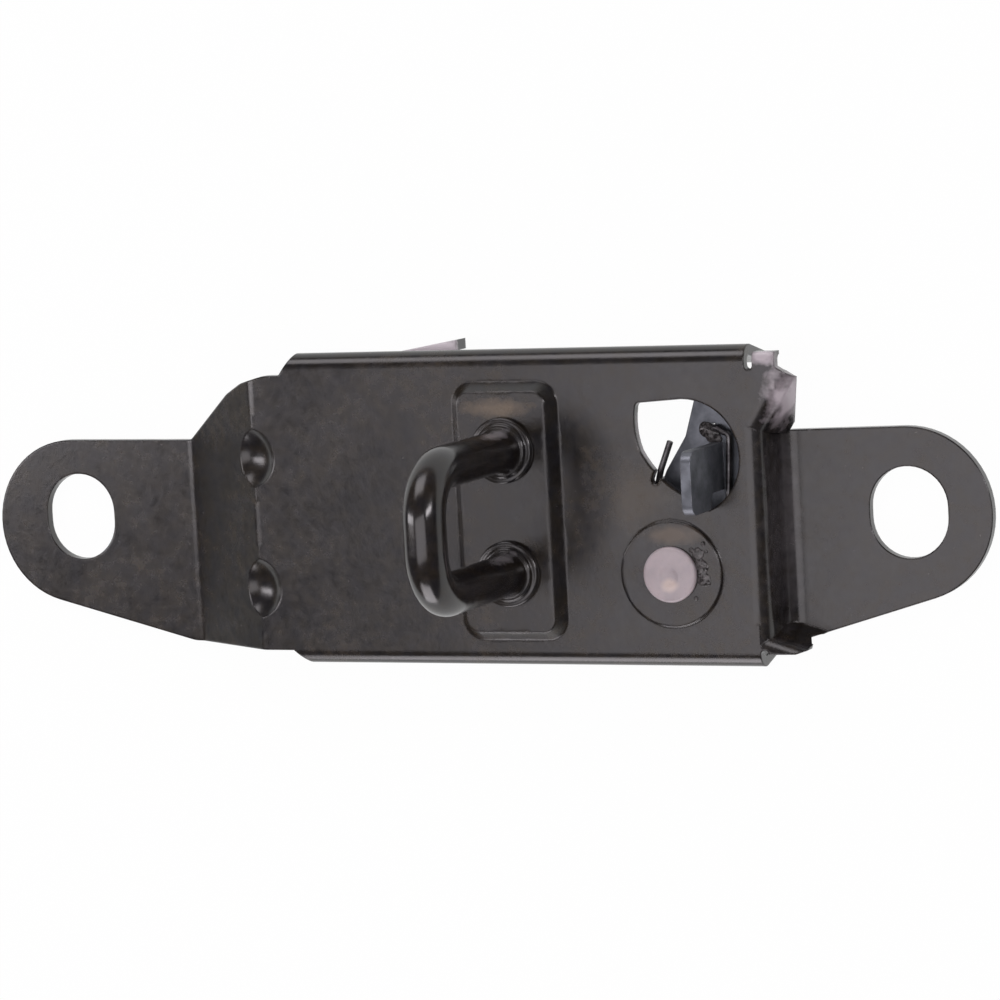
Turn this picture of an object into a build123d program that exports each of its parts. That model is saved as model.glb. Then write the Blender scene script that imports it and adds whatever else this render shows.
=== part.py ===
"""Body-side trunk striker: a folded steel bracket that carries a round striker loop and a remote
release lever, which swings on a nylon bush behind the plate against a torsion spring.

Frame in millimetres: +Z points out of the bracket towards the lid, +X runs along its length, and the
origin lies midway between the two bolt slots on the face that bears on the car body.
"""
import os
from math import atan2, cos, radians, sin, tan

from build123d import *

os.makedirs("parts", exist_ok=True)

# Sheet of the bracket and its bends
sheet = 2.0
bend_inside = 1.0
ear_bend_inside = 3.0
plate_rise = 13.0

# Bolt slots, and the ears whose round ends lie a little off them
bolt_spacing = 172.0
slot_width = 15.0
slot_height = 17.0
ear_radius = 16.2
ear_left_x = -87.75
ear_left_y = -1.0
ear_left_top = 14.95
ear_left_taper = 15.0
ear_right_x = 85.7
ear_right_y = -0.35
ear_right_top = 15.45
ear_right_taper = 16.8
ear_root_left = -62.0
ear_root_out = 2.8
root_round = 1.5

# Raised plate: its corners lie on the front faces
slope_foot = -60.5
plate_left = -41.5
plate_right = 62.0
strip_top = 28.5
strip_bottom = -24.8
shoulder_low = (-48.6, 24.45)
shoulder_middle = (-44.2, 26.7)
shoulder_high = (-38.5, 28.2)

# Flanges along the two long edges
flange_top = 32.2
flange_bottom = -27.4
flange_left = -32.3
flange_slant = 2.9
flange_top_right = 59.3
flange_bottom_right = 60.0
stub_gap = 1.6
stub_right = 65.2
stub_top = 30.9
flange_tilt = 14.0
flange_gap = 0.5

# Corner wings at the right end, from the wall's edge out to the plate's corner
wing_splay = 12.0
wing_top_root = 17.0
wing_top_reach = 6.0
wing_top_height = 9.4
wing_top_slant = 2.9
wing_bottom_root = -22.3
wing_bottom_reach = 6.6
wing_bottom_drop = 1.9
wing_bottom_slant = 2.0
wing_clip = 2.6

# Raised tab at the back of the top flange
tab_left = -22.0
tab_length = 21.0
tab_width = 5.0
tab_lift = 9.5

# Darts across the left bend
dart_high = 12.4
dart_low = -12.7
dart_radius = 8.2
dart_depth = 2.3

# Raised pad under the loop
pad_left = 2.6
pad_right = 20.4
pad_bottom = -20.6
pad_top = 24.6
pad_rise = 2.4
pad_run = 1.8
pad_corner = 2.4
pad_draw = 0.8

# Striker loop
wire = 7.9
leg_spacing = 23.2
loop_x = 11.7
loop_y = 2.1
loop_reach = 36.8
loop_bend = 9.0
collar_diameter = 12.4
collar_height = 1.3
tenon_diameter = 6.5
rivet_diameter = 10.5
rivet_height = 1.8

# Pivot of the release lever
pivot_x = 43.5
pivot_y = -9.8
boss_radius = 9.9
boss_rise = 0.9
boss_wall = 1.0
neck_diameter = 8.2
neck_clearance = 0.1
button_diameter = 10.4
button_height = 1.3
button_round = 0.5
spool_radius = 8.2
journal_diameter = 10.0
journal_clearance = 0.05
end_play = 0.1
bush_end = 0.9
bush_chamfer = 0.4

# Release lever
lever_sheet = 2.0
lever_back = 5.0
hub_radius = 11.0
arm_foot = (41.0, 8.8)
arm_waist = (45.0, 15.0)
arm_margin = 4.9
arm_margin_low = 1.0
arm_margin_high = 17.0
eye_x = 51.6
eye_y = 22.3
eye_radius = 4.4
eye_hole = 4.0
finger_face = 52.4
finger_low = 5.2
finger_high = 13.9
finger_tip = 24.5
finger_toe = 2.2
toe_clearance = 0.7
toe_run = 1.2
finger_corner = 2.2
hook_x = 50.6
hook_y = 16.6
hook_hole = 1.6

# Window that the finger comes through
window_centre = (46.8, 11.7)
window_radius = 10.8
window_arc = 156.0
window_corner = (37.7, 21.9)
window_side = (37.3, 17.5)
window_bend = (38.2, 13.0)
window_foot = (41.2, 8.8)
window_heel = (45.4, 5.4)
window_round = 1.0

# Return spring
spring_wire = 1.2
coil_radius = 9.1
coil_turns = 2
coil_gap = 0.15
leg_lean = 22.6
fixed_leg = 22.7
fixed_leg_crossing = 16.2
moving_leg_lean = 5.0
hook_reach = 1.2

# Washer and push nut behind the lever
washer_width = 3.5
washer_thickness = 0.8
nut_width = 2.5
nut_thickness = 0.6
nut_fingers = 6
nut_slit = 2.2
nut_slit_width = 0.7

plate_back = plate_rise - sheet
pad_face = plate_rise + pad_rise
bend_outside = bend_inside + sheet
lever_front = lever_back + lever_sheet
washer_radius = journal_diameter / 2 + washer_width
nut_radius = journal_diameter / 2 + nut_width
ear_root_right = plate_right + ear_root_out
fixed_leg_z = plate_back - spring_wire / 2 - coil_gap

# The fixed leg of the spring leaves the coil along its tangent and crosses the window's edge
leg_direction = Vector(sin(radians(leg_lean)), cos(radians(leg_lean)))
leg_start = Vector(pivot_x, pivot_y) + Vector(-leg_direction.Y, leg_direction.X) * coil_radius
leg_crossing = leg_start + leg_direction * fixed_leg_crossing


def save(part, name):
    """Name a finished piece and write its file."""
    part.label = name
    export_step(part, f"parts/{name}.step")


# Bracket: one strip folded over the plate, then flanges, wings and pressed forms
ear_left = Vector(ear_left_x, ear_left_y)
ear_right = Vector(ear_right_x, ear_right_y)
left_tangent = ear_left + Vector(0, -ear_radius).rotate(Axis.Z, -ear_left_taper)
right_tangent = ear_right + Vector(0, -ear_radius).rotate(Axis.Z, ear_right_taper)
left_root_y = left_tangent.Y - (ear_root_left - left_tangent.X) * tan(radians(ear_left_taper))
right_root_y = right_tangent.Y - (right_tangent.X - ear_root_right) * tan(radians(ear_right_taper))
fold_half = atan2(plate_rise - sheet, plate_left - slope_foot) / 2


def wing_corner(root, reach, height, edge, edge_slant):
    """Corner of the plate with the wing folded down along the slant from the wall's end to its tip."""
    wall_end = Vector(plate_right, root)
    tip = wall_end + Vector(reach, height)
    slant = (tip - wall_end).normalized()
    outward = Vector(abs(slant.Y), -slant.X if height > 0 else slant.X)
    back = wall_end - slant * (sheet * slant.X)
    along = outward.cross(Vector(0, 0, 1))
    start = tip if along.dot(slant) < 0 else back
    depth = 4 * bend_outside
    splay = plate_rise * tan(radians(wing_splay))
    back_out = back + outward * (splay + 1)
    tip_out = tip + outward * (splay + 1)
    with BuildPart() as corner:
        with BuildSketch(Plane(origin=start, x_dir=outward, z_dir=along)):
            with BuildLine():
                outside = FilletPolyline(
                    (-depth, plate_rise), (0, plate_rise), (splay, 0), radius=bend_outside
                )
                offset(outside, amount=sheet, side=Side.RIGHT)
            make_face()
        extrude(amount=(tip - back).length)
        with BuildSketch(Plane.XY.offset(-1)):
            with BuildLine():
                Polyline(
                    (plate_right - depth, root),
                    (back.X, back.Y),
                    (back_out.X, back_out.Y),
                    (tip_out.X, tip_out.Y),
                    (tip.X, tip.Y),
                    (tip.X - edge_slant, edge),
                    (plate_right - depth, edge),
                    close=True,
                )
            make_face()
        extrude(amount=plate_rise + 2, mode=Mode.INTERSECT)
    return corner.part


def dart_shell(centre):
    """Sheet pressed out at the back of a dart: a ball's shell kept behind the front faces."""
    with BuildPart() as shell:
        with Locations(centre):
            Sphere(dart_radius + sheet)
        with BuildSketch(Plane.XZ.offset(-centre.Y - 2 * dart_radius)):
            with BuildLine():
                Polyline(
                    (slope_foot, sheet),
                    (plate_left, plate_rise),
                    (plate_left + 3 * dart_radius, plate_rise),
                    (plate_left + 3 * dart_radius, 0),
                    (slope_foot, 0),
                    close=True,
                )
            make_face()
        extrude(amount=4 * dart_radius, mode=Mode.INTERSECT)
    return shell.part


# The upper wing tapers back to the ear's root and the lower one is clipped beside the ear
with BuildPart() as upper_corner:
    add(wing_corner(wing_top_root, wing_top_reach, wing_top_height, strip_top, wing_top_slant))
    with BuildSketch(Plane.YZ.offset(plate_right - 4 * bend_outside)):
        with BuildLine():
            Polyline(
                (wing_top_root - 2, -1),
                (wing_top_root - 2, sheet),
                (wing_top_root, sheet),
                (wing_top_root + wing_top_height, plate_back - 0.5),
                (flange_top, plate_back - 0.5),
                (flange_top, -1),
                close=True,
            )
        make_face()
    extrude(amount=6 * bend_outside + wing_top_reach, mode=Mode.SUBTRACT)

with BuildPart() as lower_corner:
    add(
        wing_corner(
            wing_bottom_root, wing_bottom_reach, -wing_bottom_drop, strip_bottom, wing_bottom_slant
        )
    )
    with BuildSketch(Plane.XZ.offset(-flange_bottom)):
        with BuildLine():
            Polyline(
                (plate_right + wing_bottom_reach, plate_back - sheet),
                (plate_right + wing_bottom_reach - wing_clip, sheet),
                (plate_right + wing_bottom_reach - wing_clip, -1),
                (plate_right + wing_bottom_reach + 1, -1),
                (plate_right + wing_bottom_reach + 1, plate_back - sheet),
                close=True,
            )
        make_face()
    extrude(amount=flange_bottom - wing_bottom_root, mode=Mode.SUBTRACT)


with BuildPart() as bracket:
    with BuildSketch(Plane.XZ.offset(-2 * flange_top)) as fold:
        with BuildLine():
            front = FilletPolyline(
                (ear_left.X - 2 * ear_radius, sheet),
                (slope_foot, sheet),
                (plate_left, plate_rise),
                (plate_right, plate_rise),
                (plate_right, sheet),
                (ear_right.X + 2 * ear_radius, sheet),
                radius=[ear_bend_inside, bend_outside, bend_outside, ear_bend_inside],
            )
            offset(front, amount=sheet, side=Side.RIGHT)
        make_face()
    extrude(amount=4 * flange_top)

    # Front view of the strip
    with BuildSketch(Plane.XY.offset(-1)) as outline:
        with BuildLine():
            FilletPolyline(
                left_tangent,
                (ear_root_left, left_root_y),
                (plate_right, strip_bottom),
                (plate_right, wing_bottom_root),
                (ear_root_right, right_root_y),
                right_tangent,
                radius=[4 * root_round, 0, 0, root_round],
            )
            ThreePointArc(
                right_tangent,
                ear_right + Vector(ear_radius, 0),
                ear_right + Vector(0, ear_radius),
            )
            FilletPolyline(
                ear_right + Vector(0, ear_radius),
                (plate_right, ear_right_top),
                (plate_right, strip_top),
                (flange_left, strip_top),
                (flange_left, shoulder_high[1]),
                shoulder_high,
                shoulder_middle,
                shoulder_low,
                (slope_foot, ear_left_top),
                ear_left + Vector(0, ear_radius),
                radius=[root_round, 0, 0, 0, 4 * root_round, 4 * root_round, 4 * root_round, root_round],
            )
            ThreePointArc(
                ear_left + Vector(0, ear_radius),
                ear_left - Vector(ear_radius, 0),
                left_tangent,
            )
        make_face()
    extrude(amount=plate_rise + 2, mode=Mode.INTERSECT)

    # The side wall stops short of the plate's corners
    for low, high in ((wing_top_root, flange_top), (flange_bottom, wing_bottom_root)):
        with BuildSketch(Plane.XY.offset(-1)):
            with Locations((plate_right, (low + high) / 2)):
                Rectangle(2 * bend_outside, high - low)
        extrude(amount=plate_back + 1, mode=Mode.SUBTRACT)

    # Corners folded down along a slant at the right end
    add(upper_corner.part)
    add(lower_corner.part)

    # Long flanges, bent a little past square
    lean = tan(radians(flange_tilt)) * (plate_rise - flange_gap)
    setback = bend_outside * (tan(radians(flange_tilt)) + 1 / cos(radians(flange_tilt)) - 1)
    for edge, right_end, turn, inner_side in (
        (flange_top + setback, stub_right, -1, Side.RIGHT),
        (flange_bottom - setback, flange_bottom_right, 1, Side.LEFT),
    ):
        with BuildSketch(Plane.YZ.offset(flange_left - flange_slant)):
            with BuildLine():
                outside = FilletPolyline(
                    (edge + turn * 3 * bend_outside, plate_rise),
                    (edge, plate_rise),
                    (edge + turn * lean, flange_gap),
                    radius=bend_outside,
                )
                offset(outside, amount=sheet, side=inner_side)
            make_face()
        extrude(amount=right_end - flange_left + flange_slant)

    # The flanges' left ends are cut at a slant across the bend and square below it
    bend_depth = plate_rise - bend_outside
    for root, edge, turn in (
        (shoulder_high[1], flange_top, -1),
        (strip_bottom, flange_bottom, 1),
    ):
        beyond = edge - turn * 2 * bend_outside
        with BuildSketch(Plane.XY.offset(-1)):
            with BuildLine():
                Polyline(
                    (flange_left - 2 * flange_slant, root),
                    (flange_left - flange_slant, root),
                    (flange_left, edge),
                    (flange_left, beyond),
                    (flange_left - 2 * flange_slant, beyond),
                    close=True,
                )
            make_face()
        extrude(amount=plate_rise + 2, mode=Mode.SUBTRACT)
        with BuildSketch(Plane.XY.offset(-1)):
            with Locations((flange_left - flange_slant, edge + turn * lean / 2)):
                Rectangle(2 * flange_slant, 4 * sheet + lean)
        extrude(amount=bend_depth + 1, mode=Mode.SUBTRACT)

    # Beyond the top flange's right end only a stub of its bend is left on the corner
    with BuildSketch(Plane.XY.offset(-1)):
        with Locations(((flange_top_right + stub_right) / 2 + 1, stub_top + bend_outside)):
            Rectangle(stub_right - flange_top_right + 2, 2 * bend_outside)
    extrude(amount=plate_rise + 2, mode=Mode.SUBTRACT)
    with BuildSketch(Plane.XY.offset(-1)):
        with Locations(((flange_top_right + stub_right) / 2 + 1, strip_top + sheet)):
            Rectangle(stub_right - flange_top_right + 2, 3 * sheet)
    extrude(amount=plate_back, mode=Mode.SUBTRACT)

    # Round-ended relief notches beside the flanges' right ends
    for right_end, root, beyond in (
        (flange_top_right, strip_top, flange_top),
        (flange_bottom_right, strip_bottom, flange_bottom),
    ):
        with BuildSketch(Plane.XY.offset(bend_depth)):
            with Locations((right_end + stub_gap / 2, (root + beyond) / 2)):
                Rectangle(stub_gap, abs(beyond - root))
            with Locations((right_end + stub_gap / 2, root)):
                Circle(stub_gap / 2)
        extrude(amount=2 * bend_outside, mode=Mode.SUBTRACT)

    # Tab cut free at the back of the top flange and raised at its right end
    tab_root_y = flange_top - lean * (plate_rise - tab_width) / (plate_rise - flange_gap)
    with BuildSketch(Plane.XY):
        with Locations((tab_left + tab_length / 2, flange_top)):
            Rectangle(tab_length, 4 * sheet + 2 * lean)
    extrude(amount=tab_width, mode=Mode.SUBTRACT)
    with BuildSketch(Plane.XY.offset(flange_gap)):
        with BuildLine():
            rise = Vector(cos(radians(tab_lift)), sin(radians(tab_lift)))
            Polyline(
                (tab_left - sheet, tab_root_y - sheet),
                (tab_left, tab_root_y - sheet),
                (tab_left + tab_length * rise.X, tab_root_y - sheet + tab_length * rise.Y),
                (tab_left + tab_length * rise.X, tab_root_y + tab_length * rise.Y),
                (tab_left, tab_root_y),
                (tab_left - sheet, tab_root_y),
                close=True,
            )
        make_face()
    extrude(amount=tab_width - flange_gap)

    # Raised pad, pressed from behind
    pad_size = (pad_right - pad_left, pad_top - pad_bottom)
    pad_centre = ((pad_right + pad_left) / 2, (pad_top + pad_bottom) / 2)
    for level, shrink, mode in ((plate_rise, 0, Mode.ADD), (plate_back, pad_draw, Mode.SUBTRACT)):
        for height, grow in ((-0.01, pad_run), (pad_rise, 0)):
            with BuildSketch(Plane.XY.offset(level + height)):
                with Locations(pad_centre):
                    RectangleRounded(
                        pad_size[0] + 2 * (grow - shrink),
                        pad_size[1] + 2 * (grow - shrink),
                        pad_corner + grow - shrink,
                    )
        loft(mode=mode)

    # Raised ring round the pivot
    for level, radius, mode in (
        (plate_rise, boss_radius, Mode.ADD),
        (plate_back, boss_radius - boss_wall, Mode.SUBTRACT),
    ):
        with BuildSketch(Plane.XY.offset(level)):
            with Locations((pivot_x, pivot_y)):
                Circle(radius)
        extrude(amount=boss_rise, mode=mode)
    with BuildSketch(Plane.XY.offset(plate_back)):
        with Locations((pivot_x, pivot_y)):
            Circle(neck_diameter / 2 + neck_clearance)
    extrude(amount=sheet + 2 * boss_rise, mode=Mode.SUBTRACT)

    # Darts pressed across the left bend to stiffen it
    bend_out = Vector(-sin(fold_half), 0, cos(fold_half))
    for y in (dart_high, dart_low):
        centre = Vector(plate_left, y, plate_rise) + bend_out * (dart_radius - dart_depth)
        add(dart_shell(centre))
        with Locations(centre):
            Sphere(dart_radius, mode=Mode.SUBTRACT)

    # Window for the finger, with a notch where the spring's fixed leg comes up
    with BuildSketch(Plane.XY.offset(plate_back - 1)) as window:
        with BuildLine():
            centre = Vector(*window_centre)
            window_low = centre + Vector(0, window_radius).rotate(Axis.Z, -window_arc)
            ThreePointArc(window_corner, window_side, window_bend)
            ThreePointArc(window_bend, window_foot, window_heel)
            Line(window_heel, window_low)
            ThreePointArc(
                window_low, centre + Vector(window_radius, 0), centre + Vector(0, window_radius)
            )
            Line(centre + Vector(0, window_radius), window_corner)
        make_face()
        fillet(window.vertices().sort_by_distance(window_corner)[0], radius=window_round)
        with Locations(Location(leg_crossing, (0, 0, 90 - leg_lean))):
            SlotOverall(3.3 * spring_wire, 1.3 * spring_wire)
    extrude(amount=sheet + 2, mode=Mode.SUBTRACT)

    # Bolt slots
    for side in (-1, 1):
        with BuildSketch(Plane.XY.offset(-1)):
            with Locations((side * bolt_spacing / 2, 0)):
                SlotOverall(slot_height, slot_width, rotation=90)
        extrude(amount=sheet + 2, mode=Mode.SUBTRACT)

    # Holes for the loop's tenons
    with BuildSketch(Plane.XY.offset(plate_back)):
        with Locations(*[(loop_x, loop_y + side * leg_spacing / 2) for side in (-1, 1)]):
            Circle(tenon_diameter / 2)
    extrude(amount=sheet + pad_rise + 1, mode=Mode.SUBTRACT)

save(bracket.part, "bracket")

# Striker loop: one bent bar, with an upset collar, a tenon and a riveted head on each leg
with BuildPart() as striker_loop:
    half = leg_spacing / 2
    crown_z = pad_face + loop_reach
    with BuildLine(Plane(origin=(loop_x, loop_y, 0), x_dir=(0, 1, 0), z_dir=(1, 0, 0))):
        FilletPolyline(
            (-half, pad_face), (-half, crown_z), (half, crown_z), (half, pad_face), radius=loop_bend
        )
    with BuildSketch(Plane.XY.offset(pad_face)):
        with Locations((loop_x, loop_y - half)):
            Circle(wire / 2)
    sweep()
    for y in (loop_y - half, loop_y + half):
        for level, diameter, height in (
            (pad_face, collar_diameter, collar_height),
            (pad_face + collar_height, (collar_diameter + wire) / 2, collar_height / 2),
            (pad_face - sheet - rivet_height, rivet_diameter, rivet_height),
            (pad_face - sheet - rivet_height / 2, tenon_diameter, sheet + rivet_height),
        ):
            with BuildSketch(Plane.XY.offset(level)):
                with Locations((loop_x, y)):
                    Circle(diameter / 2)
            extrude(amount=height)
save(striker_loop.part, "striker_loop")

# Pivot bush: a turned nylon form whose button shows in front and whose journal carries the lever
boss_face = plate_rise + boss_rise
boss_back = plate_back + boss_rise
spool_back = lever_front + end_play / 2
washer_front = lever_back - end_play / 2
nut_back = washer_front - washer_thickness - nut_thickness
with BuildPart() as pivot_bush:
    with BuildSketch(Plane(origin=(pivot_x, pivot_y, 0), x_dir=(1, 0, 0), z_dir=(0, -1, 0))):
        with BuildLine():
            Polyline(
                (0, nut_back - bush_end),
                (journal_diameter / 2 - bush_chamfer, nut_back - bush_end),
                (journal_diameter / 2, nut_back - bush_end + bush_chamfer),
                (journal_diameter / 2, spool_back),
                (spool_radius, spool_back),
                (spool_radius, boss_back),
                (neck_diameter / 2, boss_back),
                (neck_diameter / 2, boss_face),
                (button_diameter / 2, boss_face),
                (button_diameter / 2, boss_face + button_height / 2),
            )
            ThreePointArc(
                (button_diameter / 2, boss_face + button_height / 2),
                (button_diameter / 2 - button_round, boss_face + 0.8 * button_height),
                (button_diameter / 2 - 3 * button_round, boss_face + button_height),
            )
            Polyline(
                (button_diameter / 2 - 3 * button_round, boss_face + button_height),
                (0, boss_face + button_height),
                (0, nut_back - bush_end),
            )
        make_face()
    revolve(axis=Axis((pivot_x, pivot_y, 0), (0, 0, 1)))
save(pivot_bush.part, "pivot_bush")

# Release lever: a flat arm with a hub, a cable eye, a spring hole and a finger folded forward
with BuildPart() as release_lever:
    fold_start = finger_face - bend_inside - lever_sheet
    with BuildSketch(Plane.XY.offset(lever_back)):
        with Locations((pivot_x, pivot_y)):
            Circle(hub_radius)
        with Locations((eye_x, eye_y)):
            Circle(eye_radius)
        with BuildLine():
            Polyline(
                (pivot_x - 0.7 * hub_radius, pivot_y + 0.7 * hub_radius),
                arm_foot,
                arm_waist,
                (eye_x - eye_radius, eye_y),
                (eye_x + eye_radius, eye_y),
                (finger_face + arm_margin, arm_margin_high),
                (finger_face + arm_margin, arm_margin_low),
                (pivot_x + 0.94 * hub_radius, pivot_y + hub_radius / 3),
                close=True,
            )
        make_face()
    extrude(amount=lever_sheet)
    with BuildSketch(Plane.XZ.offset(-finger_low)):
        with BuildLine():
            inner = FilletPolyline(
                (fold_start - 2, lever_front),
                (finger_face - lever_sheet, lever_front),
                (finger_face - lever_sheet, finger_tip),
                radius=bend_inside,
            )
            offset(inner, amount=lever_sheet, side=Side.RIGHT)
        make_face()
    extrude(amount=-(finger_high - finger_low))
    with BuildSketch(Plane.YZ.offset(finger_face - lever_sheet)):
        with BuildLine():
            toe_start = plate_rise + toe_clearance
            Polyline(
                (finger_low + 2, toe_start - 1),
                (finger_low, toe_start),
                (finger_toe, toe_start + toe_run),
                (finger_toe, finger_tip),
                (finger_low + 2, finger_tip),
                close=True,
            )
        make_face()
    extrude(amount=lever_sheet)
    tip_corners = release_lever.edges().filter_by(Axis.X).filter_by(
        lambda edge: abs((edge @ 0.5).Z - finger_tip) < 0.01
    )
    fillet(tip_corners, radius=finger_corner)
    for x, y, diameter in (
        (pivot_x, pivot_y, journal_diameter + 2 * journal_clearance),
        (eye_x, eye_y, eye_hole),
        (hook_x, hook_y, hook_hole),
    ):
        with Locations((x, y, lever_front)):
            Hole(diameter / 2, depth=lever_sheet)
save(release_lever.part, "release_lever")

# Return spring: the wire comes out of its hole in the lever, passes the finger, winds clockwise up the
# spool and leaves behind the plate to end in the window's notch
moving_leg_z = lever_front + spring_wire / 2 + 3 * coil_gap
coil_angle = 360 * coil_turns - 180 + leg_lean - moving_leg_lean
with BuildPart() as return_spring:
    pivot = Vector(pivot_x, pivot_y)
    leg_side = Vector(cos(radians(moving_leg_lean)), -sin(radians(moving_leg_lean)))
    moving_start = pivot + leg_side * coil_radius + Vector(0, 0, moving_leg_z)
    moving_up = Vector(-leg_side.Y, leg_side.X)
    moving_top = moving_start + moving_up * ((hook_y - moving_start.Y) / moving_up.Y)
    fixed_start = leg_start + Vector(0, 0, fixed_leg_z)
    rim = leg_crossing - leg_direction * 1.6 * spring_wire + Vector(0, 0, fixed_leg_z)
    notch_z = plate_rise - spring_wire
    with BuildLine() as wire_path:
        FilletPolyline(
            (hook_x, hook_y, lever_back - hook_reach),
            (hook_x, hook_y, moving_leg_z),
            moving_top,
            moving_start,
            radius=[spring_wire, 1.5 * spring_wire],
        )
        coil = Helix(
            pitch=(fixed_leg_z - moving_leg_z) * 360 / coil_angle,
            height=fixed_leg_z - moving_leg_z,
            radius=coil_radius,
            center=(pivot_x, pivot_y, moving_leg_z),
            lefthand=True,
            mode=Mode.PRIVATE,
        ).rotate(Axis((pivot_x, pivot_y, 0), (0, 0, 1)), -moving_leg_lean)
        add(coil)
        FilletPolyline(
            fixed_start,
            rim,
            leg_crossing + leg_direction * 0.6 * spring_wire + Vector(0, 0, notch_z),
            leg_start + leg_direction * fixed_leg + Vector(0, 0, notch_z),
            radius=spring_wire,
        )
    whole_wire = wire_path.wire()
    with BuildSketch(Plane(origin=whole_wire @ 0, z_dir=whole_wire % 0)):
        Circle(spring_wire / 2)
    sweep()
save(return_spring.part, "return_spring")

# Washer behind the lever, and the toothed nut that is pushed onto the bush and holds both
with BuildPart() as thrust_washer:
    with BuildSketch(Plane.XY.offset(washer_front - washer_thickness)):
        with Locations((pivot_x, pivot_y)):
            Circle(washer_radius)
            Circle(journal_diameter / 2 + journal_clearance, mode=Mode.SUBTRACT)
    extrude(amount=washer_thickness)
save(thrust_washer.part, "thrust_washer")

with BuildPart() as push_nut:
    with BuildSketch(Plane.XY.offset(nut_back)):
        with Locations((pivot_x, pivot_y)):
            Circle(nut_radius)
            Circle(journal_diameter / 2, mode=Mode.SUBTRACT)
            with PolarLocations(journal_diameter / 2, nut_fingers):
                Rectangle(2 * nut_slit, nut_slit_width, mode=Mode.SUBTRACT)
    extrude(amount=nut_thickness)
save(push_nut.part, "push_nut")
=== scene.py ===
"""Looks of a body-side trunk striker: a black-painted folded bracket with a riveted bar loop, a
nylon pivot button and a zinc-plated release lever in its window. Units are metres, in the part's
own frame: +Z out of the plate, +X along the bracket, and the ears' rear faces on z = 0."""
from math import cos, hypot, pi, radians, sin, tan, tau

import bmesh
import bpy
from mathutils import Matrix, Vector, noise


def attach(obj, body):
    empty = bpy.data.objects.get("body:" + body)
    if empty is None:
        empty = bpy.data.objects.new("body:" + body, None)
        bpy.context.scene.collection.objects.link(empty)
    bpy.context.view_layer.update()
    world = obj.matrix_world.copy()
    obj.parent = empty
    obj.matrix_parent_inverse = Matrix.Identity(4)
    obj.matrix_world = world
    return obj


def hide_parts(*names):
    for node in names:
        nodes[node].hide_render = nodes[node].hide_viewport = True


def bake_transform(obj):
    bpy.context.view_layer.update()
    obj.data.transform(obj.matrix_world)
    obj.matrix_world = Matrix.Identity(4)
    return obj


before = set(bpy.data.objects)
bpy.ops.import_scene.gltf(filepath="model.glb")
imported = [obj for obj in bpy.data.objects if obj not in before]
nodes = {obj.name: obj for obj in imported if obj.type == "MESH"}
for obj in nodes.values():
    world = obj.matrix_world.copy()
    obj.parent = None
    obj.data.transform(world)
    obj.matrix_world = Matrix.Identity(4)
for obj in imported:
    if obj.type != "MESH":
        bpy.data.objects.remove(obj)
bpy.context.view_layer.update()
scene = bpy.context.scene
scene.view_settings.view_transform = "Standard"

MM = 0.001

# Sizes repeated from the part, in millimetres and degrees
PAD_FACE = 15.4
PAD_BACK = 13.4
WIRE = 7.9
LEG_SPACING = 23.2
LOOP_X = 11.7
LOOP_Y = 2.1
LOOP_REACH = 36.8
LOOP_BEND = 9.0
COLLAR = 6.2
COLLAR_STEP = 5.075
TENON = 3.25
RIVET = 5.25
PIVOT = Vector((43.5, -9.8, 0))
BOSS_FACE = 13.9
BOSS_BACK = 11.9
BUTTON = 5.2
NECK = 4.1
SPOOL = 8.2
SPOOL_BACK = 7.05
JOURNAL = 5.0
BUSH_END = 2.65
SPRING_WIRE = 1.2
COIL_RADIUS = 9.1
COIL_ANGLE = 557.6
MOVING_LEG_LEAN = 5.0
MOVING_LEG_Z = 8.05
FIXED_LEG_LEAN = 22.6
FIXED_LEG = 22.7
FIXED_LEG_CROSSING = 16.2
FIXED_LEG_Z = 10.25
NOTCH_Z = 11.8
HOOK = (50.6, 16.6)
HOOK_END = 3.8
LEVER_FRONT = 7.0

# Further sizes of the meshes, in millimetres
RIVET_HEIGHT = 1.8
FLARE = 0.42
FLARE_FOOT = 1.97
FLARE_HEIGHT = 5.5
BUTTON_HEIGHT = 1.3
BUTTON_CROWN = 0.13
DIMPLE_LEFT = 0.15
DIMPLE_DOWN = 0.35
DIMPLE_RADIUS = 2.1
DIMPLE_DEPTH = 0.34
GREASE_VOXEL = 0.11
GREASE_SINK = 0.1


# Camera
def place_camera(azimuth, elevation, roll, distance, lens, shift_x, shift_y):
    """Camera that looks at the origin from the photograph's side, turned about its own axis."""
    towards = Vector(
        (sin(azimuth) * cos(elevation), sin(elevation), cos(azimuth) * cos(elevation))
    )
    right = Vector((cos(azimuth), 0, -sin(azimuth)))
    up = towards.cross(right)
    turned_right = right * cos(roll) - up * sin(roll)
    turned_up = right * sin(roll) + up * cos(roll)
    data = bpy.data.cameras.new("camera")
    data.sensor_width = 36
    data.lens = lens
    data.shift_x = shift_x
    data.shift_y = shift_y
    data.clip_start = 0.05
    data.clip_end = 20
    camera = bpy.data.objects.new("camera", data)
    scene.collection.objects.link(camera)
    turn = Matrix((turned_right, turned_up, towards)).transposed()
    camera.matrix_world = Matrix.Translation(towards * distance) @ turn.to_4x4()
    scene.camera = camera


place_camera(
    azimuth=radians(23.885),
    elevation=radians(6.484),
    roll=radians(3.144),
    distance=0.8451,
    lens=159.4,
    shift_x=0.0178,
    shift_y=0.0132,
)


# Small helpers for materials
def new_material(name):
    """Material whose tree holds one Principled shader; gives the material, tree and shader."""
    material = bpy.data.materials.new(name)
    material.use_nodes = True
    tree = material.node_tree
    tree.nodes.clear()
    output = tree.nodes.new("ShaderNodeOutputMaterial")
    shader = tree.nodes.new("ShaderNodeBsdfPrincipled")
    tree.links.new(shader.outputs["BSDF"], output.inputs["Surface"])
    return material, tree, shader


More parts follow.
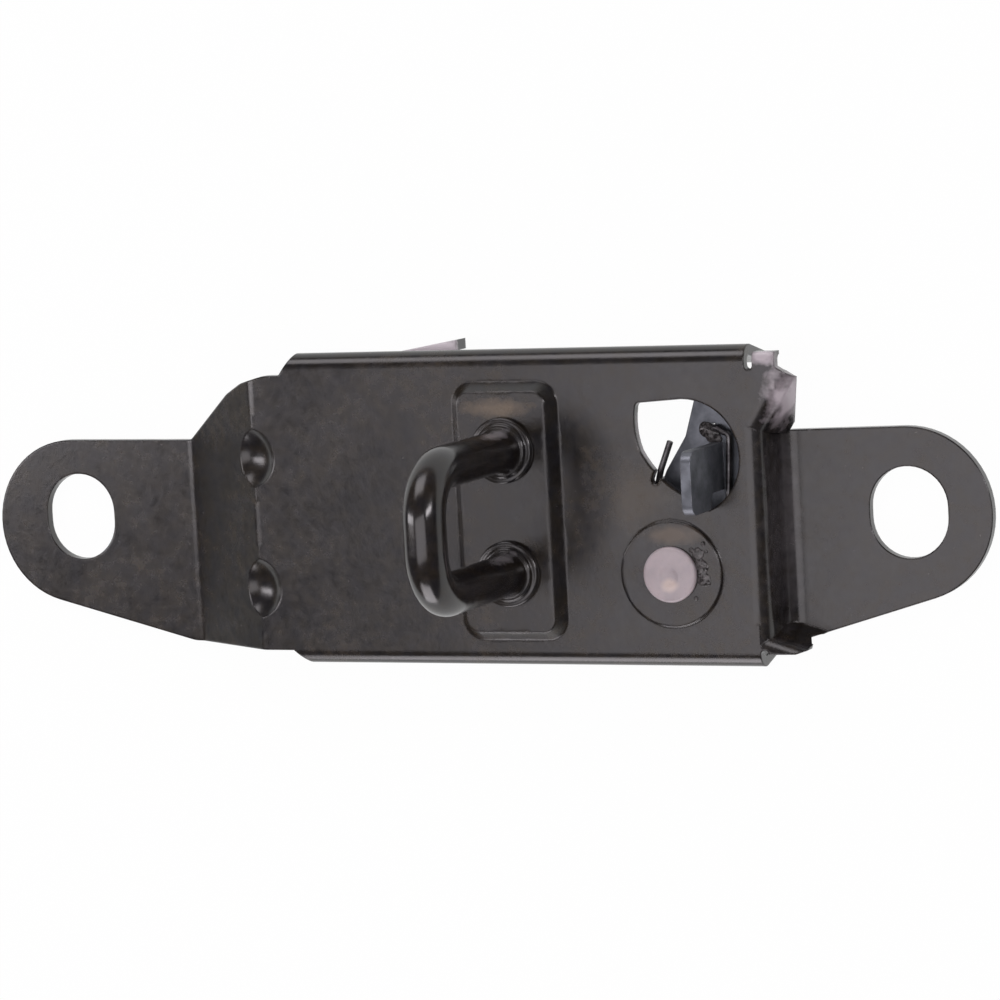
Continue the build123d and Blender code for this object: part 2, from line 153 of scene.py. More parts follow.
def new_group(name, inputs, outputs):
    """Shader node group with named sockets; gives the tree and its two end nodes."""
    tree = bpy.data.node_groups.new(name, "ShaderNodeTree")
    for label, kind, default in inputs:
        socket = tree.interface.new_socket(label, in_out="INPUT", socket_type=kind)
        socket.default_value = default
    for label, kind in outputs:
        tree.interface.new_socket(label, in_out="OUTPUT", socket_type=kind)
    return tree, tree.nodes.new("NodeGroupInput"), tree.nodes.new("NodeGroupOutput")


def add_node(tree, kind, inputs=None, **settings):
    """Node with its settings; an input is a value or another node's output socket."""
    node = tree.nodes.new(kind)
    for key, value in settings.items():
        setattr(node, key, value)
    for key, value in (inputs or {}).items():
        if isinstance(value, bpy.types.NodeSocket):
            tree.links.new(value, node.inputs[key])
        else:
            node.inputs[key].default_value = value
    return node


def math(tree, operation, first, second=0.5, clamp=False):
    """Output of a Math node."""
    return add_node(
        tree, "ShaderNodeMath", {0: first, 1: second}, operation=operation, use_clamp=clamp
    ).outputs[0]


def mix_color(tree, factor, first, second, blend_type="MIX"):
    """Output of a colour Mix node."""
    return add_node(
        tree,
        "ShaderNodeMix",
        {0: factor, 6: first, 7: second},
        data_type="RGBA",
        blend_type=blend_type,
    ).outputs[2]


def remap(tree, value, low, high, to_low=0.0, to_high=1.0):
    """Output of a clamped Map Range node."""
    return add_node(
        tree,
        "ShaderNodeMapRange",
        {"Value": value, "From Min": low, "From Max": high, "To Min": to_low, "To Max": to_high},
    ).outputs[0]


def swing(tree, value, amount):
    """A value from 0 to 1, turned into a change either way of half the amount."""
    return math(tree, "MULTIPLY", math(tree, "SUBTRACT", value, 0.5), amount)


def object_place(tree):
    """The object's own coordinates."""
    return add_node(tree, "ShaderNodeTexCoord").outputs["Object"]


def noise_at(tree, scale, detail=2.0, rough=0.5, distortion=0.0):
    """Noise over the object's own coordinates."""
    return add_node(
        tree,
        "ShaderNodeTexNoise",
        {
            "Vector": object_place(tree),
            "Scale": scale,
            "Detail": detail,
            "Roughness": rough,
            "Distortion": distortion,
        },
    ).outputs["Fac"]


def use_group(tree, group, **values):
    """Group node with its own values; names are the sockets' names with _ for spaces."""
    inputs = {key.replace("_", " "): value for key, value in values.items()}
    return add_node(tree, "ShaderNodeGroup", inputs, node_tree=group)


def link_bump(tree, shader, height, normal, strength, distance):
    """Bump laid over a normal and led to the shader."""
    bump = add_node(
        tree,
        "ShaderNodeBump",
        {"Strength": strength, "Distance": distance, "Height": height, "Normal": normal},
    )
    tree.links.new(bump.outputs["Normal"], shader.inputs["Normal"])


# Effects that several materials share
def make_edge_wear():
    """Mask of the worn places along edges, and a normal that rounds the edges off."""
    tree, start, end = new_group(
        "Edge wear",
        [("Width", "NodeSocketFloat", 0.0005), ("Amount", "NodeSocketFloat", 1.0)],
        [("Mask", "NodeSocketFloat"), ("Normal", "NodeSocketVector")],
    )
    rounded = add_node(
        tree, "ShaderNodeBevel", {"Radius": start.outputs["Width"]}, samples=8
    ).outputs[0]
    flat = add_node(tree, "ShaderNodeNewGeometry").outputs["Normal"]
    turn = add_node(
        tree, "ShaderNodeVectorMath", {0: rounded, 1: flat}, operation="DOT_PRODUCT"
    ).outputs["Value"]
    edge = remap(tree, turn, 0.97, 0.84)
    patches = remap(tree, noise_at(tree, scale=700, detail=4, rough=0.65), 0.46, 0.66)
    worn = math(tree, "MULTIPLY", edge, patches)
    mask = math(tree, "MULTIPLY", worn, start.outputs["Amount"], clamp=True)
    tree.links.new(mask, end.inputs["Mask"])
    tree.links.new(rounded, end.inputs["Normal"])
    return tree


def make_dip_paint():
    """Black dip paint: broad brownish stains, fine mottling, dust and a little orange peel."""
    tree, start, end = new_group(
        "Dip paint",
        [
            ("Paint", "NodeSocketColor", (0.04, 0.037, 0.038, 1)),
            ("Stain", "NodeSocketColor", (0.07, 0.052, 0.03, 1)),
            ("Stain Amount", "NodeSocketFloat", 0.5),
            ("Dust Amount", "NodeSocketFloat", 0.3),
            ("Gloss", "NodeSocketFloat", 0.4),
        ],
        [
            ("Color", "NodeSocketColor"),
            ("Roughness", "NodeSocketFloat"),
            ("Height", "NodeSocketFloat"),
        ],
    )
    clouds = noise_at(tree, scale=60, detail=5, rough=0.62, distortion=0.6)
    broad = remap(tree, clouds, 0.4, 0.68)
    fine = noise_at(tree, scale=560, detail=4, rough=0.6)
    patchy = math(tree, "MULTIPLY", broad, remap(tree, fine, 0.22, 0.8))
    stain = math(tree, "MULTIPLY", patchy, start.outputs["Stain Amount"])
    stained = mix_color(tree, stain, start.outputs["Paint"], start.outputs["Stain"])
    hue = remap(tree, noise_at(tree, scale=310, detail=3, rough=0.6), 0.4, 0.6)
    warm = (1.14, 1.0, 0.78, 1)
    cool = (0.92, 0.92, 1.08, 1)
    mottled = mix_color(tree, 1.0, stained, mix_color(tree, hue, warm, cool), "MULTIPLY")
    grain = noise_at(tree, scale=2600, detail=3, rough=0.6)
    shade = math(
        tree,
        "MULTIPLY",
        remap(tree, fine, 0.25, 0.75, 0.72, 1.28),
        remap(tree, grain, 0.25, 0.75, 0.7, 1.3),
    )
    shaded = mix_color(tree, 1.0, mottled, shade, "MULTIPLY")
    speck = remap(tree, noise_at(tree, scale=1250, detail=1), 0.77, 0.83)
    dust = math(tree, "MULTIPLY", speck, start.outputs["Dust Amount"])
    pale_dust = (0.2, 0.185, 0.18, 1)
    dusty = mix_color(tree, dust, shaded, pale_dust)
    change = math(tree, "ADD", swing(tree, fine, 0.17), swing(tree, broad, 0.06))
    rough = math(tree, "ADD", start.outputs["Gloss"], change)
    waves = noise_at(tree, scale=1100, detail=2)
    peel = math(tree, "ADD", waves, math(tree, "MULTIPLY", grain, 0.35))
    tree.links.new(dusty, end.inputs["Color"])
    tree.links.new(rough, end.inputs["Roughness"])
    tree.links.new(peel, end.inputs["Height"])
    return tree


def make_spot_mask():
    """One soft, ragged spot about a place on the part."""
    tree, start, end = new_group(
        "Spot mask",
        [
            ("Centre", "NodeSocketVector", (0, 0, 0)),
            ("Size", "NodeSocketVector", (0.01, 0.01, 0.01)),
            ("Amount", "NodeSocketFloat", 1.0),
        ],
        [("Mask", "NodeSocketFloat")],
    )
    offset = add_node(
        tree,
        "ShaderNodeVectorMath",
        {0: object_place(tree), 1: start.outputs["Centre"]},
        operation="SUBTRACT",
    ).outputs[0]
    scaled = add_node(
        tree, "ShaderNodeVectorMath", {0: offset, 1: start.outputs["Size"]}, operation="DIVIDE"
    ).outputs[0]
    far = add_node(
        tree, "ShaderNodeVectorMath", {0: scaled}, operation="LENGTH"
    ).outputs["Value"]
    ragged = swing(tree, noise_at(tree, scale=420, detail=3), 1.1)
    inside = remap(tree, math(tree, "ADD", far, ragged), 1.05, 0.35)
    mask = math(tree, "MULTIPLY", inside, start.outputs["Amount"], clamp=True)
    tree.links.new(mask, end.inputs["Mask"])
    return tree


EDGE_WEAR = make_edge_wear()
DIP_PAINT = make_dip_paint()
SPOT_MASK = make_spot_mask()


# Finishes
def painted(name, paint, stain, stain_amount, dust, gloss, peel, worn, wear, stains_and_painted_light=(), soft=()):
    """Painted steel with worn edges: the material and its shader. A tinted spot, for a stain or
    for painted light, is a tint, centre, size and amount; a soft place is a centre, size and what
    it adds to the radius of its edges."""
    material, tree, shader = new_material(name)
    skin = use_group(
        tree,
        DIP_PAINT,
        Paint=(*paint, 1),
        Stain=(*stain, 1),
        Stain_Amount=stain_amount,
        Dust_Amount=dust,
        Gloss=gloss,
    )
    color = skin.outputs["Color"]
    # Tinted spots: stains, and painted reflections, highlights and bounce light
    for tint, centre, size, amount in stains_and_painted_light:
        spot = use_group(
            tree, SPOT_MASK, Centre=Vector(centre) * MM, Size=Vector(size) * MM, Amount=amount
        )
        color = mix_color(tree, spot.outputs["Mask"], color, (*tint, 1))
    width = 0.5 * MM
    for centre, size, extra in soft:
        zone = use_group(
            tree, SPOT_MASK, Centre=Vector(centre) * MM, Size=Vector(size) * MM, Amount=extra * MM
        )
        width = math(tree, "ADD", zone.outputs["Mask"], width)
    edges = use_group(tree, EDGE_WEAR, Width=width, Amount=wear)
    color = mix_color(tree, edges.outputs["Mask"], color, (*worn, 1))
    tree.links.new(color, shader.inputs["Base Color"])
    tree.links.new(skin.outputs["Roughness"], shader.inputs["Roughness"])
    link_bump(tree, shader, skin.outputs["Height"], edges.outputs["Normal"], peel, 0.1 * MM)
    return material, shader


PAINT_IOR = 1.55

# Places with a tone of their own: a real stain on the plate, and painted reflections, highlights
# and bounce light elsewhere. Columns: tint, centre and size in millimetres, amount
BRACKET_STAINS_AND_PAINTED_LIGHT = {
    # Painted warm reflection along the top of the pad
    "painted warm reflection on the pad's top": ((0.2, 0.145, 0.09), (11, 21.6, PAD_FACE), (7.5, 2.1, 2), 0.55),
    # Painted warm reflection across the top of the ring round the button
    "painted warm reflection on the ring's top": ((0.12, 0.085, 0.055), (44, -2.5, BOSS_FACE), (6.5, 2.2, 2), 0.6),
    "stain on the plate": ((0.07, 0.052, 0.03), (38, 4, 13), (7, 8, 2), 0.4),
    # Painted reflection of the pale surroundings on the corner wing's slanted face
    "painted reflection on the corner wing": ((0.47, 0.42, 0.45), (66.2, 22.5, 7.5), (5, 8, 7.5), 0.95),
    # Painted reflection of the pale surroundings on the stub at the top right
    "painted reflection on the stub": ((0.52, 0.47, 0.5), (63.2, 30.2, 13), (3.2, 1.9, 3), 0.9),
    # Painted reflection of the pale surroundings on the tab above the plate
    "painted reflection on the tab": ((0.66, 0.61, 0.645), (-9, 32, 4.9), (15, 5, 1.1), 1.0),
    # Painted bounce light that lightens the right wall
    "painted bounce light on the right wall": ((0.07, 0.064, 0.067), (63, -2, 6), (2.5, 22, 9), 0.8),
    # Painted highlight along the window's left cut edge
    "painted highlight on the window's cut edge": ((0.35, 0.32, 0.34), (39.4, 13.5, 11.5), (4.5, 10, 1.1), 1.0),
}
# Painted highlights along the upper side of each leg of the loop: tint, centre and size in
# millimetres, amount
LEG_HIGHLIGHT_TINT = (0.26, 0.245, 0.255)
LEG_PAINTED_HIGHLIGHTS = {
    "painted highlight on the upper leg": (LEG_HIGHLIGHT_TINT, (13.2, 17.2, 22), (1.7, 1.3, 6.5), 0.7),
    "painted highlight on the lower leg": (LEG_HIGHLIGHT_TINT, (13.2, -6.0, 22), (1.7, 1.3, 6.5), 0.7),
}

# Places with rounder edges: centre, size and added radius in millimetres
BRACKET_SOFT = {
    "pad": ((11.5, 2, 14), (13, 27, 6), 2.0),
    "window": ((44, 14, 12), (11, 13, 4), 0.4),
    "ring": ((43.5, -9.8, 13.5), (13, 13, 3), 0.5),
}

BLACK_PAINT, bracket_shader = painted(
    "bracket_black_paint",
    paint=(0.0105, 0.0095, 0.0095),
    stain=(0.042, 0.033, 0.021),
    stain_amount=0.5,
    dust=0.25,
    gloss=0.25,
    peel=0.1,
    worn=(0.13, 0.115, 0.12),
    wear=0.15,
    stains_and_painted_light=BRACKET_STAINS_AND_PAINTED_LIGHT.values(),
    soft=BRACKET_SOFT.values(),
)
bracket_shader.inputs["IOR"].default_value = PAINT_IOR

LOOP_PAINT, loop_shader = painted(
    "loop_black_paint",
    paint=(0.009, 0.008, 0.008),
    stain=(0.04, 0.03, 0.022),
    stain_amount=0.4,
    dust=0.3,
    gloss=0.21,
    peel=0.05,
    worn=(0.12, 0.11, 0.11),
    wear=0.2,
    stains_and_painted_light=LEG_PAINTED_HIGHLIGHTS.values(),
)
loop_shader.inputs["IOR"].default_value = PAINT_IOR


def make_zinc(name, color, dull, bright, roughness, metal=0.85):
    """Zinc-plated steel: bluish, with dull patches and brighter edges."""
    material, tree, shader = new_material(name)
    edges = use_group(tree, EDGE_WEAR, Width=0.3 * MM, Amount=0.9)
    patch = noise_at(tree, scale=320, detail=4, rough=0.6)
    patched = mix_color(tree, remap(tree, patch, 0.38, 0.64), (*color, 1), (*dull, 1))
    edged = mix_color(tree, edges.outputs["Mask"], patched, (*bright, 1))
    rough = remap(tree, patch, 0.3, 0.7, roughness, roughness + 0.18)
    tree.links.new(edged, shader.inputs["Base Color"])
    tree.links.new(rough, shader.inputs["Roughness"])
    shader.inputs["Metallic"].default_value = metal
    grain = noise_at(tree, scale=2200)
    link_bump(tree, shader, grain, edges.outputs["Normal"], 0.1, 0.05 * MM)
    return material


ZINC = make_zinc(
    "lever_zinc_plate",
    color=(0.15, 0.16, 0.182),
    dull=(0.1, 0.108, 0.122),
    bright=(0.32, 0.315, 0.33),
    roughness=0.34,
    metal=0.6,
)
SPRING_STEEL = make_zinc(
    "spring_drawn_wire",
    color=(0.16, 0.155, 0.16),
    dull=(0.06, 0.055, 0.058),
    bright=(0.2, 0.19, 0.2),
    roughness=0.26,
)
PLAIN_STEEL = make_zinc(
    "washer_plain_steel",
    color=(0.3, 0.31, 0.33),
    dull=(0.18, 0.18, 0.19),
    bright=(0.45, 0.45, 0.46),
    roughness=0.38,
)


def make_nylon():
    """Natural nylon: milky, with a painted warm highlight low on the button and faint grime."""
    material, tree, shader = new_material("button_nylon")
    cloud = remap(tree, noise_at(tree, scale=300, detail=3), 0.35, 0.7)
    color = mix_color(tree, cloud, (0.38, 0.335, 0.352, 1), (0.46, 0.4, 0.415, 1))
    # Painted warm highlight below the middle of the button's face
    centre = PIVOT + Vector((0.1, -1.9, 14.9))
    size = Vector((2.0, 1.6, 1.5))
    painted_highlight = use_group(tree, SPOT_MASK, Centre=centre * MM, Size=size * MM, Amount=0.8)
    highlighted = mix_color(tree, painted_highlight.outputs["Mask"], color, (0.66, 0.55, 0.5, 1))
    specks = noise_at(tree, scale=1500, detail=3, rough=0.6)
    grime = remap(tree, specks, 0.62, 0.74, 0.0, 0.35)
    soiled = mix_color(tree, grime, highlighted, (0.28, 0.23, 0.22, 1))
    tree.links.new(soiled, shader.inputs["Base Color"])
    rough = remap(tree, cloud, 0.0, 1.0, 0.34, 0.46)
    tree.links.new(rough, shader.inputs["Roughness"])
    shader.inputs["Subsurface Weight"].default_value = 0.3
    shader.inputs["Subsurface Radius"].default_value = (1.0, 0.8, 0.7)
    shader.inputs["Subsurface Scale"].default_value = 0.8 * MM
    return material


def make_grease():
    """Dark sticky grease with dust caught in it."""
    material, tree, shader = new_material("dark_grease")
    cloud = noise_at(tree, scale=1500, detail=3, rough=0.6)
    dark = (0.02, 0.018, 0.018, 1)
    dusty = (0.11, 0.1, 0.1, 1)
    color = mix_color(tree, remap(tree, cloud, 0.4, 0.7), dark, dusty)
    tree.links.new(color, shader.inputs["Base Color"])
    tree.links.new(remap(tree, cloud, 0.3, 0.7, 0.12, 0.3), shader.inputs["Roughness"])
    grain = noise_at(tree, scale=2500, detail=3, rough=0.6)
    bump = add_node(
        tree, "ShaderNodeBump", {"Strength": 0.2, "Distance": 0.1 * MM, "Height": grain}
    )
    tree.links.new(bump.outputs["Normal"], shader.inputs["Normal"])
    return material


NYLON = make_nylon()
GREASE = make_grease()

for node, material in (
    ("bracket", BLACK_PAINT),
    ("striker_loop", LOOP_PAINT),
    ("pivot_bush", NYLON),
    ("release_lever", ZINC),
    ("return_spring", SPRING_STEEL),
    ("thrust_washer", PLAIN_STEEL),
    ("push_nut", PLAIN_STEEL),
):
    mesh = nodes[node].data
    mesh.materials.clear()
    mesh.materials.append(material)


# Meshes made of rings
def ring(centre, side, across, radius, count):
    """Points round a centre, in millimetres, in the plane of two directions."""
    return [
        centre + (side * cos(tau * step / count) + across * sin(tau * step / count)) * radius
        for step in range(count)
    ]


def skin_rings(name, rings, material, body):
    """Closed mesh over rings of equal count, with a fan of faces over each end."""
    count = len(rings[0])
    shape = bmesh.new()
    rows = [[shape.verts.new(point * MM) for point in points] for points in rings]
    for low, high in zip(rows, rows[1:]):
        for step in range(count):
            after = (step + 1) % count
            shape.faces.new((low[step], low[after], high[after], high[step]))
    for row, points in ((rows[0][::-1], rings[0]), (rows[-1], rings[-1])):
        middle = shape.verts.new(sum(points, Vector()) / count * MM)
        for step in range(count):
            shape.faces.new((row[step], row[(step + 1) % count], middle))
    bmesh.ops.recalc_face_normals(shape, faces=shape.faces)
    return finish_mesh(name, shape, material, body)


def finish_mesh(name, shape, material, body):
    """Object from a bmesh, smooth but for its sharp edges; it rides on its body, if it has one."""
    mesh = bpy.data.meshes.new(name)
    shape.to_mesh(mesh)
    shape.free()
    for polygon in mesh.polygons:
        polygon.use_smooth = True
    mesh.set_sharp_from_angle(angle=radians(42))
    mesh.materials.append(material)
    piece = bpy.data.objects.new(name, mesh)
    scene.collection.objects.link(piece)
    if body:
        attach(piece, body)
    return piece


def rounded_corner(profile, centre, radius, start, end, steps=5):
    """Arc of a lathe profile, added as (radius, height) pairs; angles in degrees."""
    for step in range(steps + 1):
        angle = radians(start + (end - start) * step / steps)
        profile.append((centre[0] + radius * cos(angle), centre[1] + radius * sin(angle)))


# Striker loop: one bar whose legs end in an upset collar, a tenon and a hammered rivet head
def leg_profile():
    """Radius and height along one leg, from the rivet head behind up to the bare bar."""
    head = PAD_BACK - RIVET_HEIGHT
    profile = [(0.4, head), (2.4, head + 0.03), (4.1, head + 0.22)]
    rounded_corner(profile, (RIVET - 0.7, head + 1.0), 0.7, -50, 0, 4)
    profile += [(RIVET, PAD_BACK - 0.25), (RIVET - 0.15, PAD_BACK), (TENON, PAD_BACK)]
    profile += [(TENON, PAD_FACE), (COLLAR - 0.12, PAD_FACE), (COLLAR, PAD_FACE + 0.15)]
    rounded_corner(profile, (COLLAR - 0.4, PAD_FACE + 0.9), 0.4, 0, 90)
    profile += [(COLLAR_STEP + 0.16, PAD_FACE + 1.22), (COLLAR_STEP, PAD_FACE + 1.3)]
    rounded_corner(profile, (COLLAR_STEP - 0.35, PAD_FACE + 1.6), 0.35, 0, 90)
    steps = 8
    for step in range(steps + 1):
        share = step / steps
        height = PAD_FACE + FLARE_FOOT + FLARE_HEIGHT * share ** 1.5
        profile.append((WIRE / 2 + FLARE * (1 - share) ** 2, height))
    return profile


def leg_rings(leg_y, across, bend_z, count):
    """Rings up one leg, from the rivet head to just below the bend."""
    side = Vector((1, 0, 0))
    outline = leg_profile()
    flare_top = outline[-1][1]
    steps = 8
    for step in range(1, steps):
        outline.append((WIRE / 2, flare_top + (bend_z - flare_top) * step / steps))
    return [
        ring(Vector((LOOP_X, leg_y, height)), side, across, radius, count)
        for radius, height in outline
    ]


def make_striker_loop():
    """Legs and bends as one skin of rings; the bar thins a little in each bend."""
    count = 56
    thinning = 0.012
    half = LEG_SPACING / 2
    bend_z = PAD_FACE + LOOP_REACH - LOOP_BEND
    side = Vector((1, 0, 0))
    rings = leg_rings(LOOP_Y - half, Vector((0, 1, 0)), bend_z, count)
    steps = 22
    for turn, middle_y in ((0, LOOP_Y - half + LOOP_BEND), (1, LOOP_Y + half - LOOP_BEND)):
        for step in range(steps + 1):
            angle = pi / 2 * (turn + step / steps)
            outward = Vector((0, -cos(angle), sin(angle)))
            centre = Vector((LOOP_X, middle_y, bend_z)) + outward * LOOP_BEND
            squeeze = 1 - thinning * sin(2 * angle) ** 2
            rings.append(ring(centre, side, -outward, WIRE / 2 * squeeze, count))
    rings += reversed(leg_rings(LOOP_Y + half, Vector((0, -1, 0)), bend_z, count))
    loop = skin_rings("striker_loop_bar", rings, LOOP_PAINT, "striker")
    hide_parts("striker_loop")


make_striker_loop()


# Pivot bush: turned nylon with a shallow gate dimple in its button
def make_pivot_bush():
    """Button, neck, spool and journal turned about the pivot, then the dimple pressed in."""
    count = 72
    top = BOSS_FACE + BUTTON_HEIGHT
    profile = [(0.4, BUSH_END), (JOURNAL - 0.5, BUSH_END)]
    rounded_corner(profile, (JOURNAL - 0.45, BUSH_END + 0.45), 0.45, -90, 0, 4)
    profile += [(JOURNAL, SPOOL_BACK), (SPOOL - 0.15, SPOOL_BACK), (SPOOL, SPOOL_BACK + 0.15)]
    profile += [(SPOOL, BOSS_BACK - 0.15), (SPOOL - 0.15, BOSS_BACK), (NECK, BOSS_BACK)]
    profile += [(NECK, BOSS_FACE), (BUTTON - 0.12, BOSS_FACE), (BUTTON, BOSS_FACE + 0.14)]
    rounded_corner(profile, (BUTTON - 0.62, BOSS_FACE + 0.56), 0.62, 0, 78, 8)
    steps = 26
    for step in range(1, steps):
        radius = (BUTTON - 0.49) * (1 - step / steps)
        profile.append((radius, top - BUTTON_CROWN * (radius / BUTTON) ** 2))
    side = Vector((1, 0, 0))
    across = Vector((0, 1, 0))
    face = BOSS_FACE + 1
    rings = []
    for radius, height in profile:
        points = ring(PIVOT + Vector((0, 0, height)), side, across, radius, count)
        if height > face:
            points = [press_dimple(point) for point in points]
        rings.append(points)
    bush = skin_rings("pivot_bush_turned", rings, NYLON, "striker")
    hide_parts("pivot_bush")


def press_dimple(point):
    """Point of the button's face, sunk where the dimple is."""
    away = hypot(point.x - PIVOT.x + DIMPLE_LEFT, point.y - PIVOT.y + DIMPLE_DOWN)
    depth = DIMPLE_DEPTH * max(0.0, 1 - (away / DIMPLE_RADIUS) ** 4) ** 2
    return point - Vector((0, 0, depth))


make_pivot_bush()


# Return spring: a leg hooked into the lever, a turn and a half round the spool, a leg in the notch
def round_corners(points, radii):
    """Path through the points with each inner corner rounded."""
    path = [points[0]]
    steps = 8
    for before, corner, after, radius in zip(points, points[1:], points[2:], radii):
        arriving = (before - corner).normalized()
        leaving = (after - corner).normalized()
        half = arriving.angle(leaving) / 2
        reach = radius / tan(half)
        middle = corner + (arriving + leaving).normalized() * (radius / sin(half))
        first = corner + arriving * reach - middle
        last = corner + leaving * reach - middle
        for step in range(steps + 1):
            path.append(middle + first.slerp(last, step / steps))
    path.append(points[-1])
    return path


def spring_path():
    """Middle line of the whole wire."""
    lean = radians(MOVING_LEG_LEAN)
    start_side = Vector((cos(lean), -sin(lean), 0))
    moving_up = Vector((sin(lean), cos(lean), 0))
    moving_start = PIVOT + start_side * COIL_RADIUS + Vector((0, 0, MOVING_LEG_Z))
    moving_top = moving_start + moving_up * ((HOOK[1] - moving_start.y) / moving_up.y)
    path = round_corners(
        [
            Vector((*HOOK, HOOK_END)),
            Vector((*HOOK, MOVING_LEG_Z)),
            moving_top,
            moving_start,
        ],
        (SPRING_WIRE, 1.5 * SPRING_WIRE),
    )
    turns = 120
    for step in range(1, turns):
        angle = -lean - radians(COIL_ANGLE) * step / turns
        height = MOVING_LEG_Z + (FIXED_LEG_Z - MOVING_LEG_Z) * step / turns
        path.append(
            PIVOT + Vector((COIL_RADIUS * cos(angle), COIL_RADIUS * sin(angle), height))
        )
    leg_lean = radians(FIXED_LEG_LEAN)
    along = Vector((sin(leg_lean), cos(leg_lean), 0))
    leg_start = PIVOT + Vector((-along.y, along.x, 0)) * COIL_RADIUS
    crossing = leg_start + along * FIXED_LEG_CROSSING
    path += round_corners(
        [
            leg_start + Vector((0, 0, FIXED_LEG_Z)),
            crossing - along * 1.6 * SPRING_WIRE + Vector((0, 0, FIXED_LEG_Z)),
            crossing + along * 0.6 * SPRING_WIRE + Vector((0, 0, NOTCH_Z)),
            leg_start + along * FIXED_LEG + Vector((0, 0, NOTCH_Z)),
        ],
        (SPRING_WIRE, SPRING_WIRE),
    )
    return path


def make_return_spring():
    """Round wire along its path, with cropped ends."""
    path = spring_path()
    count = 20
    radius = SPRING_WIRE / 2
    end_radius = SPRING_WIRE * 0.42
    crop = 0.1
    rings = []
    side = Vector((1, 0, 0))
    for index, point in enumerate(path):
        before = path[max(index - 1, 0)]
        after = path[min(index + 1, len(path) - 1)]
        along = (after - before).normalized()
        side = (side - along * side.dot(along)).normalized()
        across = along.cross(side)
        if index == 0:
            rings.append(ring(point, side, across, end_radius, count))
            point = point + along * crop
        if index == len(path) - 1:
            rings.append(ring(point - along * crop, side, across, radius, count))
            rings.append(ring(point, side, across, end_radius, count))
        else:
            rings.append(ring(point, side, across, radius, count))
    spring = skin_rings("return_spring_wire", rings, SPRING_STEEL, None)
    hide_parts("return_spring")
    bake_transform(spring)


make_return_spring()


# Grease pushed out beside the button, and round the spring's hook
def make_grease_lump(name, lumps, floor_z, body):
    """Small balls run together into one flattened, uneven blob that sits on a face; each ball is
    its x, y, radius and height in millimetres."""
    unevenness = 0.22
    lumpiness = 1.7
    shape = bmesh.new()
    for x, y, radius, height in lumps:
        ball = bmesh.ops.create_icosphere(shape, subdivisions=3, radius=1.0)["verts"]
        for vert in ball:
            spot = vert.co * lumpiness + Vector((x, y, radius))
            swell = 1 + unevenness * noise.noise(spot)
            flat = Vector((vert.co.x * radius, vert.co.y * radius, vert.co.z * height)) * swell
            vert.co = (Vector((x, y, floor_z)) + flat) * MM
    source = bpy.data.meshes.new(name + "_source")
    shape.to_mesh(source)
    shape.free()
    holder = bpy.data.objects.new(name + "_source", source)
    scene.collection.objects.link(holder)
    remesh = holder.modifiers.new("run_together", "REMESH")
    remesh.mode = "VOXEL"
    remesh.voxel_size = GREASE_VOXEL * MM
    smooth = holder.modifiers.new("settle", "SMOOTH")
    smooth.iterations = 4
    joined = bpy.data.meshes.new_from_object(
        holder.evaluated_get(bpy.context.evaluated_depsgraph_get())
    )
    merged = bmesh.new()
    merged.from_mesh(joined)
    for vert in merged.verts:
        vert.co.z = max(vert.co.z, (floor_z - GREASE_SINK) * MM)
    bpy.data.objects.remove(holder)
    finish_mesh(name, merged, GREASE, body)


make_grease_lump(
    "pivot_grease",
    (
        (49.5, -8.4, 1.5, 0.24),
        (49.8, -10.7, 1.4, 0.22),
        (49.0, -6.1, 1.2, 0.24),
        (48.9, -7.1, 0.55, 0.5),
        (49.5, -8.2, 0.5, 0.42),
        (50.4, -8.6, 0.5, 0.4),
        (49.1, -9.7, 0.45, 0.45),
        (49.6, -10.6, 0.55, 0.4),
        (50.7, -11.4, 0.6, 0.3),
        (48.9, -5.2, 0.5, 0.42),
        (47.7, -5.3, 0.5, 0.36),
        (50.1, -4.1, 0.5, 0.36),
        (50.6, -5.6, 0.4, 0.26),
        (48.2, -14.3, 0.45, 0.34),
    ),
    BOSS_FACE,
    "striker",
)
make_grease_lump(
    "hook_grease",
    (
        (50.4, 15.5, 1.7, 0.6),
        (49.2, 16.2, 1.5, 0.45),
        (51.2, 14.5, 1.1, 0.4),
    ),
    LEVER_FRONT,
    "lever",
)


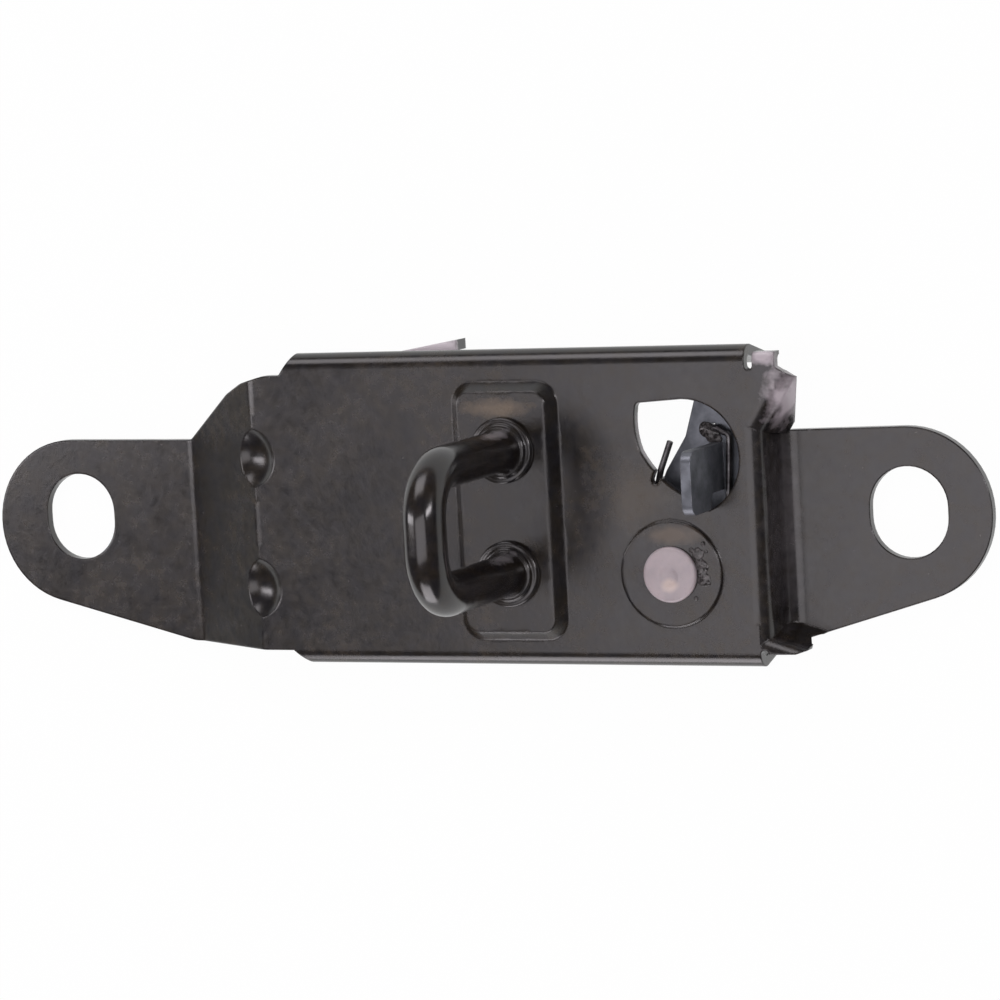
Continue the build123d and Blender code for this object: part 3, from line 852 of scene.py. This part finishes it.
# Floor, world and lamps
def make_floor():
    """Plain white table under the ears, white to the camera and in reflections."""
    mesh = bpy.data.meshes.new("floor")
    half = 3.0
    level = -0.0002
    whiteness = 0.975
    mesh.from_pydata(
        [(-half, -half, level), (half, -half, level), (half, half, level), (-half, half, level)],
        [],
        [(0, 1, 2, 3)],
    )
    floor = bpy.data.objects.new("floor", mesh)
    scene.collection.objects.link(floor)
    material = bpy.data.materials.new("white_table")
    material.use_nodes = True
    tree = material.node_tree
    tree.nodes.clear()
    output = tree.nodes.new("ShaderNodeOutputMaterial")
    diffuse = add_node(tree, "ShaderNodeBsdfDiffuse", {"Color": (0.8, 0.8, 0.8, 1)})
    glow = add_node(tree, "ShaderNodeEmission", {"Color": (1, 1, 1, 1), "Strength": 1.0})
    path = add_node(tree, "ShaderNodeLightPath")
    mirrored = math(
        tree, "MAXIMUM", path.outputs["Is Glossy Ray"], path.outputs["Is Transmission Ray"]
    )
    seen = math(tree, "MAXIMUM", path.outputs["Is Camera Ray"], mirrored)
    share = math(tree, "MULTIPLY", seen, whiteness)
    mixed = add_node(
        tree, "ShaderNodeMixShader", {0: share, 1: diffuse.outputs[0], 2: glow.outputs[0]}
    )
    tree.links.new(mixed.outputs[0], output.inputs["Surface"])
    mesh.materials.append(material)


def make_world(strength):
    """Even pale surroundings, plain white to the camera."""
    world = bpy.data.worlds.new("surroundings")
    scene.world = world
    world.use_nodes = True
    tree = world.node_tree
    tree.nodes.clear()
    output = tree.nodes.new("ShaderNodeOutputWorld")
    light = add_node(
        tree, "ShaderNodeBackground", {"Color": (1.0, 0.97, 1.0, 1), "Strength": strength}
    )
    white = add_node(tree, "ShaderNodeBackground", {"Color": (1, 1, 1, 1), "Strength": 1.0})
    path = add_node(tree, "ShaderNodeLightPath")
    mixed = add_node(
        tree,
        "ShaderNodeMixShader",
        {0: path.outputs["Is Camera Ray"], 1: light.outputs[0], 2: white.outputs[0]},
    )
    tree.links.new(mixed.outputs[0], output.inputs["Surface"])


def add_lamp(name, azimuth, elevation, distance, width, height, level):
    """Soft rectangular lamp that faces the part; level is how bright its face is."""
    turn = radians(azimuth)
    rise = radians(elevation)
    place = Vector((sin(turn) * cos(rise), sin(rise), cos(turn) * cos(rise))) * distance
    data = bpy.data.lights.new(name, "AREA")
    data.shape = "RECTANGLE"
    data.size = width
    data.size_y = height
    data.energy = pi * width * height * level
    data.color = (1.0, 0.95, 0.985)
    lamp = bpy.data.objects.new(name, data)
    scene.collection.objects.link(lamp)
    lamp.location = place
    lamp.rotation_euler = place.to_track_quat("Z", "Y").to_euler()


make_floor()
make_world(0.1)
add_lamp("front_box", azimuth=1, elevation=-5, distance=1.2, width=1.1, height=0.55, level=2.2)
add_lamp("top_box", azimuth=-25, elevation=55, distance=1.0, width=0.7, height=0.5, level=3.4)
add_lamp("low_box", azimuth=-35, elevation=-75, distance=1.0, width=0.7, height=0.75, level=4.5)
add_lamp("left_strip", azimuth=-50, elevation=2, distance=1.0, width=0.18, height=0.6, level=7.5)
add_lamp("right_strip", azimuth=47, elevation=14, distance=1.0, width=0.14, height=0.5, level=13.0)

bpy.context.view_layer.update()
